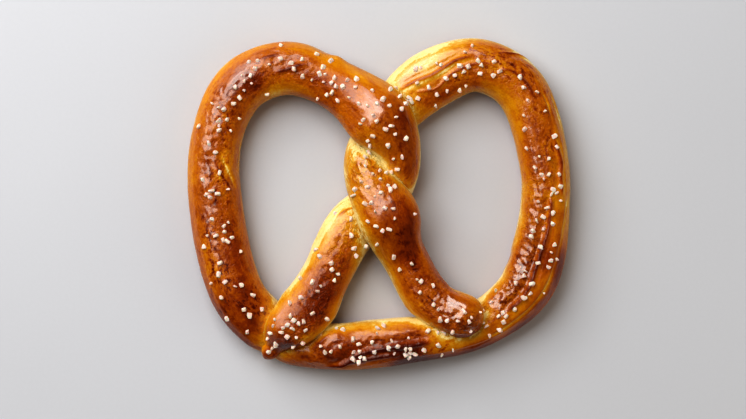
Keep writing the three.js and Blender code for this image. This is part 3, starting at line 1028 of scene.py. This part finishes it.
class Shader:
    """A new material and the nodes in it."""

    def __init__(self, name):
        self.material = bpy.data.materials.new(name)
        self.material.use_nodes = True
        self.tree = self.material.node_tree
        self.tree.nodes.clear()

    def node(self, kind, settings=None, inputs=None, output=0):
        """Add a node with its settings, then the values or wires of its sockets."""
        made = self.tree.nodes.new(kind)
        for name, value in (settings or {}).items():
            if name == "stops":
                self.set_stops(made.color_ramp, value)
            else:
                setattr(made, name, value)
        for name, value in (inputs or {}).items():
            if isinstance(value, Wire):
                self.tree.links.new(value.socket, made.inputs[name])
            else:
                made.inputs[name].default_value = value
        return Wire(self, made.outputs[output]) if made.outputs else None

    @staticmethod
    def set_stops(ramp, stops):
        while len(ramp.elements) < len(stops):
            ramp.elements.new(1)
        for element, (position, colour) in zip(ramp.elements, stops):
            element.position = position
            element.color = (*colour, 1)

    def layer(self, name, output="Fac"):
        """A number, or a vector, kept on the mesh."""
        return self.node("ShaderNodeAttribute", {"attribute_name": name}, output=output)

    def place(self):
        """Where on the object each point is."""
        return self.node("ShaderNodeTexCoord", output="Object")

    def stretched(self, vector, by):
        """A vector whose parts are each multiplied by a number."""
        return self.node(
            "ShaderNodeVectorMath", {"operation": "MULTIPLY"}, {0: vector, 1: by})

    def grain(self, vector, size, detail, rough, swirl=0.0):
        """Noise around 0, about -1 to 1, with features of a size in millimetres."""
        made = self.node("ShaderNodeTexNoise", {}, {
            "Vector": vector, "Scale": 1 / (size * MM), "Detail": detail, "Roughness": rough,
            "Distortion": swirl})
        return (made - 0.5) * 2

    def bump(self, height, distance):
        """The surface's direction with a relief of a height in metres."""
        return self.node("ShaderNodeBump", {}, {"Height": height, "Distance": distance})

    def ramp(self, value, stops):
        return self.node("ShaderNodeValToRGB", {"stops": stops}, {"Fac": value})

    def mix(self, share, first, second):
        """A colour between two others."""
        return self.node(
            "ShaderNodeMix", {"data_type": "RGBA"},
            {0: share, MIX_A: (*first, 1), MIX_B: (*second, 1)}, output=MIX_COLOUR)

    def finish(self, **sockets):
        """Close the material with one shader whose sockets are given by name."""
        inputs = {name.replace("_", " "): value for name, value in sockets.items()}
        surface = self.node("ShaderNodeBsdfPrincipled", {}, inputs)
        self.node("ShaderNodeOutputMaterial", {}, {"Surface": surface})
        return self.material


# Noise in the crust: size in millimetres, detail, roughness, and how far it swirls
CRUST_NOISE = {
    "patches": (14, 3, 0.55), "blotches": (4.5, 4, 0.62), "specks": (1.7, 4, 0.7),
    "speckled": (9, 2, 0.5), "streaks": (1.1, 2, 0.5), "fine": (0.9, 2, 0.6),
    "pores": (1.3, 3, 0.65), "worms": (2.2, 2, 0.5, 1.2),
}
LENGTHWISE = (0.65, 1, 1)  # scale that draws noise out along the rope
STREAKY = (0.09, 1, 1)  # and one that draws it out into streaks
LEAST_BLOTCH = -0.3  # lowest value of the blotches, so that the skin between them is even
# Values of the noise between which each of these rises from 0 to 1
SPECK_RISE, SPECKLED_RISE, WORM_RISE = (-0.05, 0.35), (-0.35, 0.35), (-0.2, 0.2)
SPECKLED_MOST = 1.7  # how strong the specks are where they lie thickest
SPECK_MEAN, WORM_MEAN = 0.3, 0.45  # values at which these leave the tone as it is
# How much each of these changes how dark the crust is, from 0 for cream to 1 for the darkest
PATCH_TONE, BLOTCH_TONE, MOTTLE_TONE, SPECK_TONE = 0.2, 0.2, 0.32, 0.5
STREAK_TONE, FINE_TONE, CRINKLE_TONE, WORM_SHADE_TONE = 0.07, 0.12, 0.1, 0.12
PALE_TONE, LINE_TONE = 0.4, 0.45
LEAST_TONE, LEAST_BLOTCH_TONE, LEAST_FINE_TONE = 0.015, 0.05, 0.04  # of the palest dough
# Where on that scale each colour lies
COLOUR_STOPS = {
    "cream": 0.0, "pale": 0.07, "golden": 0.2, "amber": 0.43, "brown": 0.68, "dark": 1.0,
}
# How much each of these adds to the fine relief, the roughness and the shine
WORM_RELIEF, CRINKLE_RELIEF, BLOTCH_RELIEF, PORE_RELIEF = 0.02, 0.38, 0.08, 0.1
PALE_ROUGH, PATCH_ROUGH = 0.12, 0.05
COAT, PATCH_COAT, BLOTCH_COAT, FINE_COAT = 0.7, 0.55, 0.7, 0.25


def crust_material(settings):
    """Baked dough, from pale where it was drawn out to dark where it stood proud."""
    shader = Shader("baked crust")
    bake, pale, line, mottle, crinkle, gloss = (
        shader.layer(name) for name in ("bake", "pale", "line", "mottle", "crinkle", "gloss"))
    straight = shader.layer("straight", "Vector")
    along = shader.stretched(straight, LENGTHWISE)
    streaky = shader.stretched(straight, STREAKY)

    def noise_of(name, vector=straight):
        return shader.grain(vector, *CRUST_NOISE[name])

    patches = noise_of("patches", along)
    blotches = noise_of("blotches", along).at_least(LEAST_BLOTCH)
    specks = noise_of("specks", along).rising(*SPECK_RISE)
    speckled = mottle * noise_of("speckled", along).rising(*SPECKLED_RISE) * SPECKLED_MOST
    streaks, fine, pores = noise_of("streaks", streaky), noise_of("fine"), noise_of("pores")
    worms = noise_of("worms").rising(*WORM_RISE)

    tone = bake + patches * PATCH_TONE + blotches * (BLOTCH_TONE + mottle * MOTTLE_TONE)
    tone = tone + (specks - SPECK_MEAN) * speckled * SPECK_TONE + streaks * STREAK_TONE
    tone = tone + fine * (FINE_TONE + crinkle * CRINKLE_TONE)
    # Painted shade and light: crinkled skin is darker in the valleys of the wrinkles that the bump
    # raises from the same noise, and lighter on their crests
    tone = tone + (WORM_MEAN - worms) * crinkle * WORM_SHADE_TONE
    # line: cracks drawn darker, partly as painted shade in their grooves, and ridges lighter
    tone = tone - pale * PALE_TONE + line * LINE_TONE
    tone = tone.at_least(LEAST_TONE + blotches * LEAST_BLOTCH_TONE + fine * LEAST_FINE_TONE)
    colour = shader.ramp(
        tone, [(at, getattr(settings, name)) for name, at in COLOUR_STOPS.items()])

    relief = worms * (WORM_RELIEF + crinkle * CRINKLE_RELIEF)
    relief = relief + blotches * BLOTCH_RELIEF + pores * PORE_RELIEF
    shine = COAT + patches * PATCH_COAT + blotches * BLOTCH_COAT + fine * FINE_COAT
    return shader.finish(
        Base_Color=colour, Normal=shader.bump(relief, settings.skin_depth),
        Roughness=settings.roughness + pale * PALE_ROUGH + patches * PATCH_ROUGH,
        Specular_IOR_Level=0.28, Coat_Weight=gloss * shine, Coat_Roughness=0.18, Coat_IOR=2.1)


SALT_CLOUD = (0.9, 3, 0.6)  # noise: size in millimetres, detail and roughness
SALT_PITS = (0.5, 3, 0.6)
PIT_DEPTH = 0.05 * MM
CLOUD_SHARE, GRAIN_SHARE = 0.35, 0.5  # what makes a grain clean: its noise, and itself
CLEAN_RISE = (-0.2, 0.9)  # values of their sum where it is most clouded and cleanest
SALT_ROUGH, CLOUD_ROUGH = 0.3, 0.1  # a grain's roughness, and how much the noise adds to it


def salt_material(settings):
    """Coarse salt: white, a little cloudy, with worn facets and a faint painted glow."""
    shader = Shader("coarse salt")
    place = shader.place()
    cloud = shader.grain(place, *SALT_CLOUD)
    clean = (cloud * CLOUD_SHARE + shader.layer("tone") * GRAIN_SHARE).rising(*CLEAN_RISE)
    return shader.finish(
        Base_Color=shader.mix(clean, settings.shaded, settings.white),
        Roughness=SALT_ROUGH + cloud * CLOUD_ROUGH,
        Normal=shader.bump(shader.grain(place, *SALT_PITS), PIT_DEPTH),
        Subsurface_Weight=0.4, Subsurface_Scale=1.0 * MM,
        # painted glow: the grains give off a little light of their own
        Emission_Color=(*settings.painted_glow, 1), Emission_Strength=settings.painted_glow_strength)


FLOOR_CLOUD = (250, 3, 0.5)  # noise: size in millimetres, detail and roughness
FLOOR_FINE = (1.5, 3, 0.6)
FINE_SHARE = 0.3  # how much of the finer noise is added to the other
FLOOR_RISE = (-0.8, 0.8)  # values of their sum where the floor is darkest and lightest
FLOOR_SHADE = 0.94  # how bright its darkest places are, as a share of the lightest
FLOOR_ROUGH, FLOOR_CLOUD_ROUGH = 0.75, 0.05


def floor_material(settings):
    """A plain pale board, very slightly uneven."""
    shader = Shader("pale floor")
    place = shader.place()
    cloud = shader.grain(place, *FLOOR_CLOUD)
    light = (cloud + shader.grain(place, *FLOOR_FINE) * FINE_SHARE).rising(*FLOOR_RISE)
    shade = [part * FLOOR_SHADE for part in settings.floor]
    return shader.finish(
        Base_Color=shader.mix(light, shade, settings.floor),
        Roughness=FLOOR_ROUGH + cloud * FLOOR_CLOUD_ROUGH)


# ---- Settings, operators and panel ----


def length(name, description, default, least=0):
    """A setting in millimetres, which Blender keeps in metres."""
    return FloatProperty(
        name=name, description=description, default=default * MM, min=least * MM, unit="LENGTH")


def factor(name, description, default, **limits):
    """A setting that is a share of something."""
    return FloatProperty(
        name=name, description=description, default=default, min=0, subtype="FACTOR", **limits)


def power(name, description, default):
    """The power of a light, in watts."""
    return FloatProperty(name=name, description=description, default=default, min=0, unit="POWER")


def colour(name, description, *chart):
    """A colour, given by its numbers on a colour chart."""
    return FloatVectorProperty(
        name=name, description=description, default=tint(*chart), subtype="COLOR")


class DoughSettings(PropertyGroup):
    """Sizes of the rope's surface."""

    section_step: length(
        "Section spacing", "Distance between sections along the rope", 0.64, least=0.3)
    fold_depth: factor("Fold depth", "Depth of the folds, as a share of their own", 1.0)
    lump_height: factor(
        "Unevenness", "Height of lumps and wrinkles, as a share of their own", 1.0)
    join_softness: length(
        "Join softness", "How softly two strands run into each other", 1.5, least=0.1)


class CrustSettings(PropertyGroup):
    """Colours and finish of the crust."""

    cream: colour("Cream", "Drawn-out dough that stayed raw in colour", 248, 230, 166)
    pale: colour("Pale", "Dough that hardly browned", 224, 180, 72)
    golden: colour("Golden", "Lightly baked dough", 214, 146, 12)
    amber: colour("Amber", "Well baked dough", 186, 103, 3)
    brown: colour("Brown", "Dark skin along the top", 143, 61, 1)
    dark: colour("Dark", "The darkest specks", 90, 26, 2)
    roughness: factor("Roughness", "Roughness of smooth skin", 0.28, max=1)
    skin_depth: length("Skin depth", "Height of the finest wrinkles", 1.0)


class SaltSettings(PropertyGroup):
    """Size, number and colour of the salt."""

    seed: IntProperty(name="Seed", description="Picks another scatter of salt", default=5)
    amount: factor("Amount", "Chance of a grain where a station's salt is 1", 0.38, max=1)
    shortest_edge: length("Shortest edge", "Edge of the smallest grain", 1.9, least=0.2)
    longest_edge: length("Longest edge", "Edge of the largest grain", 2.9, least=0.2)
    white: colour("White", "Colour of a clean grain", 241, 231, 225)
    shaded: colour("Clouded", "Colour of a clouded grain", 228, 210, 199)
    # Painted glow: the grains give off a little light of their own, which stands in for light that
    # passes through them
    painted_glow: colour("Glow", "Tint of the light that comes through a grain", 255, 232, 214)
    painted_glow_strength: factor("Glow strength", "How much light comes through a grain", 0.06)


class StudioSettings(PropertyGroup):
    """Floor, light and camera."""

    floor: colour("Floor", "Colour of the floor", 206, 211, 222)
    key_power: power("Key light", "Power of the soft light from the upper left", 9.2)
    rim_power: power(
        "Rim light", "Power of the low light on the sides to the upper left", 1.7)
    fill_power: power("Fill light", "Power of the weaker light from the lower right", 2.5)
    room_light: factor("Room light", "Strength of the light from all round", 0.12)
    camera_height: length(
        "Camera height", "Height of the camera over the pretzel", 901, least=100)
    lens: FloatProperty(
        name="Lens", description="Focal length", default=100.0, min=1, unit="CAMERA")


SETTINGS = {
    "pretzel_dough": DoughSettings,
    "pretzel_crust": CrustSettings,
    "pretzel_salt": SaltSettings,
    "pretzel_studio": StudioSettings,
}
CRUST_CREASE, GRAIN_CREASE = 60.0, 32.0  # degrees over which an edge stays sharp


def piece(name, mesh, crease, material):
    """A smooth object that stands in for the solid. Edges sharper than crease stay sharp."""
    mesh.shade_smooth()
    mesh.set_sharp_from_angle(angle=np.radians(crease))
    mesh.materials.clear()
    mesh.materials.append(material)
    made = new_object(name, mesh)
    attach(made, BODY)
    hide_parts(NODE)
    return made


class PRETZEL_OT_dough(Operator):
    """Roll, twist and bake the rope of dough"""

    bl_idname = "pretzel.dough"
    bl_label = "Dough"

    def execute(self, context):
        sections, corners, layers = dough_surface(context.scene.pretzel_dough)
        cuts = [int(np.abs(sections.place - place_of(name)).argmin()) for name in CUTS]
        strands = [
            strand_object(f"strand_{number}", rings)
            for number, rings in enumerate(overlapping(corners, cuts))]
        mesh = joined_strands("pretzel_dough", strands)
        carry_layers(mesh, corners, layers)
        crust = crust_material(context.scene.pretzel_crust)
        dough = piece("pretzel_dough", mesh, CRUST_CREASE, crust)
        return {"FINISHED"}


class PRETZEL_OT_salt(Operator):
    """Scatter coarse salt over the baked rope"""

    bl_idname = "pretzel.salt"
    bl_label = "Salt"

    def execute(self, context):
        settings = context.scene.pretzel_salt
        dough = bpy.data.objects["pretzel_dough"].data
        dough.calc_loop_triangles()
        tree = BVHTree.FromPolygons(
            [vertex.co for vertex in dough.vertices],
            [triangle.vertices for triangle in dough.loop_triangles])
        mesh = salt_mesh("pretzel_salt", grain_seats(tree, settings))
        piece("pretzel_salt", mesh, GRAIN_CREASE, salt_material(settings))
        return {"FINISHED"}


FLOOR_SIZE = 4.0  # metres, like the places and sizes of the lights
CAMERA_CENTRE = (-2.58 * MM, -2.15 * MM)  # what lies under the camera
TARGET = Vector((0, 0, 10 * MM))  # what the lights point at
KEY_TINT = (1, 0.96, 0.9)
FILL_TINT = (1, 0.9, 0.74)
LIGHTS = {  # the place, size and tint of each
    "key": ((-0.41, 0.48, 0.78), (0.95, 0.9), KEY_TINT),
    "rim": ((-0.62, 0.72, 0.38), (0.6, 0.5), KEY_TINT),
    "fill": ((0.9, -0.35, 0.5), (0.9, 0.9), FILL_TINT),
}
NO_SHEEN = ("fill",)  # lights that aren't mirrored in the crust


def soft_light(name, power_in_watts):
    """A rectangular light that points at the pretzel."""
    place, size, colour_of_light = LIGHTS[name]
    light = bpy.data.lights.new(f"{name} light", "AREA")
    light.shape = "RECTANGLE"
    light.size, light.size_y = size
    light.energy = power_in_watts
    light.color = colour_of_light
    lamp = new_object(light.name, light)
    lamp.location = place
    lamp.rotation_euler = (TARGET - lamp.location).to_track_quat("-Z", "Y").to_euler()
    lamp.visible_glossy = name not in NO_SHEEN


class PRETZEL_OT_studio(Operator):
    """Lay the pale floor, and set up the lights and the camera"""

    bl_idname = "pretzel.studio"
    bl_label = "Studio"

    def execute(self, context):
        settings = context.scene.pretzel_studio
        half = FLOOR_SIZE / 2
        mesh = bpy.data.meshes.new("floor")
        mesh.from_pydata(
            [(-half, -half, 0), (half, -half, 0), (half, half, 0), (-half, half, 0)], [],
            [(0, 1, 2, 3)])
        mesh.materials.append(floor_material(settings))
        new_object("floor", mesh)

        for name in LIGHTS:
            soft_light(name, getattr(settings, f"{name}_power"))
        world = bpy.data.worlds.new("room")
        world.use_nodes = True
        sky = world.node_tree.nodes["Background"].inputs
        sky["Color"].default_value = (*FILL_TINT, 1)
        sky["Strength"].default_value = settings.room_light
        world.cycles_visibility.glossy = False
        context.scene.world = world
        context.scene.view_settings.view_transform = "Standard"
        context.scene.view_settings.look = "High Contrast"

        camera = bpy.data.cameras.new("camera")
        camera.lens = settings.lens
        seen = new_object("camera", camera)
        seen.location = (*CAMERA_CENTRE, settings.camera_height)
        context.scene.camera = seen
        return {"FINISHED"}


OPERATORS = (PRETZEL_OT_dough, PRETZEL_OT_salt, PRETZEL_OT_studio)


class PRETZEL_PT_parts(Panel):
    """The pretzel's parts, and what can be changed on them"""

    bl_label = "Soft Pretzel"
    bl_space_type = "VIEW_3D"
    bl_region_type = "UI"
    bl_category = "Pretzel"

    def draw(self, context):
        for kind in OPERATORS:
            self.layout.operator(kind.bl_idname)
        for name, kind in SETTINGS.items():
            box = self.layout.box()
            box.label(text=kind.__doc__)
            for value in kind.__annotations__:
                box.prop(getattr(context.scene, name), value)


CLASSES = (*SETTINGS.values(), *OPERATORS, PRETZEL_PT_parts)


def register():
    for kind in CLASSES:
        bpy.utils.register_class(kind)
    for name, kind in SETTINGS.items():
        setattr(bpy.types.Scene, name, PointerProperty(type=kind))


def unregister():
    for name in SETTINGS:
        delattr(bpy.types.Scene, name)
    for kind in reversed(CLASSES):
        bpy.utils.unregister_class(kind)


def main():
    register()
    bpy.ops.pretzel.dough()
    bpy.ops.pretzel.salt()
    bpy.ops.pretzel.studio()


if __name__ == "__main__":
    main()
